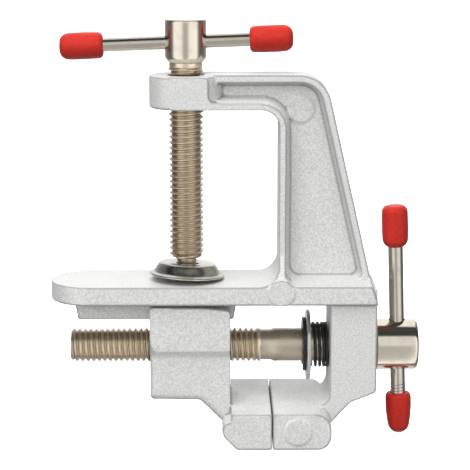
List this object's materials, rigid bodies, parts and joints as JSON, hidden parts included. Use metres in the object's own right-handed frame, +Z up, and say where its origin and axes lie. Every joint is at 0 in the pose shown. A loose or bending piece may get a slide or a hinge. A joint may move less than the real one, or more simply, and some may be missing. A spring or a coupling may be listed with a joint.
{
  "type": "clamp-on bench vise",
  "caption": "Small clamp-on bench vise: a cast aluminium C-frame held to a table edge by one screw, with a screw-driven sliding jaw and sliding tommy bars with red caps.",
  "frame": {"origin": "on the plate's clamping face, where the clamp screw's axis meets it", "axes": "+X along the vise screw towards its head, +Z up along the clamp screw towards its handle, +Y completes the right-handed set"},
  "size_m": [0.0824, 0.0291, 0.094],
  "materials": {
    "cast_aluminium": "tumbled as-cast, matte",
    "nickel_steel": "warm nickel plate, satin to bright",
    "bright_steel": "zinc plate, satin",
    "black_steel": "black oxide, semi-gloss",
    "red_vinyl": "dipped vinyl, semi-gloss"
  },
  "bodies": {
    "frame": {"frame_casting": "cast_aluminium", "spindle_spring": "black_steel"},
    "jaw": {"moving_jaw": "cast_aluminium"},
    "spindle": {"vise_screw": "nickel_steel", "vise_screw_head": "nickel_steel", "retaining_clip": "black_steel", "spindle_washer": "bright_steel"},
    "vise_handle": {"vise_handle_bar": "nickel_steel", "vise_handle_cap_upper": "red_vinyl", "vise_handle_cap_lower": "red_vinyl"},
    "clamp_carrier": {"foot_rivet_washer": "bright_steel"},
    "clamp_spindle": {"clamp_screw": "nickel_steel", "clamp_screw_head": "nickel_steel"},
    "clamp_handle": {"clamp_handle_bar": "nickel_steel", "clamp_handle_cap_left": "red_vinyl", "clamp_handle_cap_right": "red_vinyl"},
    "foot": {"clamp_foot": "bright_steel"}
  },
  "joints": [
    {"name": "vise_screw_turn", "type": "hinge", "parent": "frame", "child": "spindle", "pos_m": [0, 0, -0.0153], "axis": [1, 0, 0], "range_deg": [-52, 7020]},
    {"name": "jaw_travel", "type": "slide", "parent": "frame", "child": "jaw", "axis": [-1, 0, 0], "range_m": [-0.00018, 0.0245]},
    {"name": "vise_handle_slide", "type": "slide", "parent": "spindle", "child": "vise_handle", "axis": [-0.0349, 0, 0.9994], "range_m": [-0.0166, 0.0054]},
    {"name": "clamp_travel", "type": "slide", "parent": "frame", "child": "clamp_carrier", "axis": [0, 0, 1], "range_m": [0, 0.032]},
    {"name": "clamp_screw_turn", "type": "hinge", "parent": "clamp_carrier", "child": "clamp_spindle", "pos_m": [0, 0, 0], "axis": [0, 0, 1], "range_deg": [0, 9217]},
    {"name": "clamp_handle_slide", "type": "slide", "parent": "clamp_spindle", "child": "clamp_handle", "axis": [0.9993, 0, 0.0366], "range_m": [-0.0092, 0.0132]},
    {"name": "foot_tilt", "type": "hinge", "parent": "clamp_carrier", "child": "foot", "pos_m": [0, 0, 0.00075], "axis": [-0.7385, 0.6743, 0], "range_deg": [-9.4, 0]}
  ],
  "couplings": [
    {"joint": "jaw_travel", "follows": "vise_screw_turn", "m_per_rad": 0.00019894},
    {"joint": "clamp_screw_turn", "follows": "clamp_travel", "rad_per_m": 5026.5}
  ]
}
